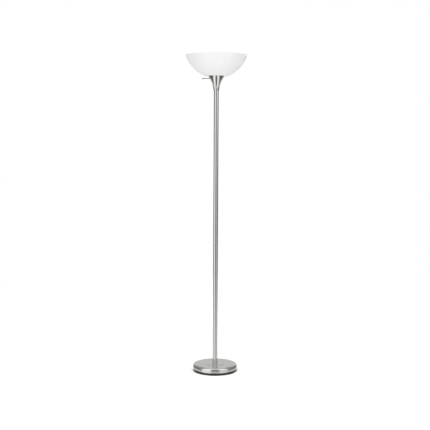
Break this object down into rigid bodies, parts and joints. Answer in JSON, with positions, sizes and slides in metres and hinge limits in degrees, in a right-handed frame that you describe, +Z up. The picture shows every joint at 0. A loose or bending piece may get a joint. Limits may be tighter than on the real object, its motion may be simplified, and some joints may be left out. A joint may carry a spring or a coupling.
{
  "type": "torchiere floor lamp",
  "caption": "Torchiere floor lamp with a weighted round base, slim tubular pole, trumpet cup with a side knob and an open frosted glass bowl.",
  "frame": {"origin": "on the floor at the centre of the round base", "axes": "+Z up along the pole, -X towards the switch knob, +Y to the back where the cord leaves the base"},
  "size_m": [0.3418, 0.3418, 1.778],
  "materials": {
    "brushed_nickel": "satin brushed nickel plate",
    "frosted_glass": "white opal glass, acid-frosted",
    "black_plastic": "moulded, satin black",
    "felt": "black wool felt",
    "cast_iron": "rough cast",
    "zinc_steel": "zinc plated steel",
    "rubber": "matte black",
    "ring_metal": "white enamel",
    "holder_plastic": "moulded phenolic, black",
    "terminal_plastic": "moulded, off-white",
    "brass": "stamped brass",
    "bulb_glass": "soft white inside coating",
    "clear_glass": "clear glass",
    "bulb_metal": "rolled aluminium",
    "bulb_collar": "black vitrite glass",
    "cement": "basing cement, rough off-white",
    "filament": "tungsten wire",
    "lead_black": "PVC insulation, black",
    "lead_white": "PVC insulation, white"
  },
  "bodies": {
    "stand": {"base_cover": "brushed_nickel", "base_lock_washer": "zinc_steel", "base_nut": "zinc_steel", "base_stud": "zinc_steel", "base_tray": "black_plastic", "base_washer": "zinc_steel", "base_weight": "cast_iron", "cap_set_screw": "zinc_steel", "centre_contact": "brass", "cord_gland": "rubber", "felt_pad": "felt", "head_lock_washer": "zinc_steel", "head_nut": "zinc_steel", "head_stud": "zinc_steel", "holder_cap": "holder_plastic", "holder_core": "holder_plastic", "holder_shell": "holder_plastic", "hot_lead": "lead_black", "hot_terminal_screw": "brass", "joint_stud_1": "zinc_steel", "joint_stud_2": "zinc_steel", "joint_stud_3": "zinc_steel", "lower_bush_1": "zinc_steel", "lower_bush_2": "zinc_steel", "lower_bush_3": "zinc_steel", "lower_bush_4": "zinc_steel", "neck_washer": "zinc_steel", "neutral_lead": "lead_white", "neutral_terminal_screw": "brass", "pole_tube_1": "brushed_nickel", "pole_tube_2": "brushed_nickel", "pole_tube_3": "brushed_nickel", "pole_tube_4": "brushed_nickel", "ring_contact": "brass", "screw_shell": "brass", "shade_gasket_lower": "rubber", "shade_gasket_upper": "rubber", "shade_glass": "frosted_glass", "shade_ring_lower": "ring_metal", "shade_ring_upper": "ring_metal", "splice_block": "terminal_plastic", "splice_screws": "brass", "tray_screws": "zinc_steel", "trumpet": "brushed_nickel", "upper_bush_1": "zinc_steel", "upper_bush_2": "zinc_steel", "upper_bush_3": "zinc_steel", "upper_bush_4": "zinc_steel"},
    "switch": {"switch_shaft": "brushed_nickel", "switch_rotor": "terminal_plastic", "switch_knob": "brushed_nickel", "knob_screw": "zinc_steel"},
    "bulb": {"bulb_contact": "bulb_metal", "bulb_insulator": "bulb_collar", "bulb_cement": "cement", "bulb_cap": "bulb_metal", "bulb_glass": "bulb_glass", "bulb_stem": "clear_glass", "bulb_filament": "filament"}
  },
  "joints": [
    {"name": "knob_turn", "type": "hinge", "parent": "stand", "child": "switch", "pos_m": [-0.081, 0, 1.649], "axis": [-1, 0, 0], "continuous": true},
    {"name": "bulb_lift", "type": "slide", "parent": "stand", "child": "bulb", "axis": [0, 0, 1], "range_m": [0, 0.125]}
  ]
}
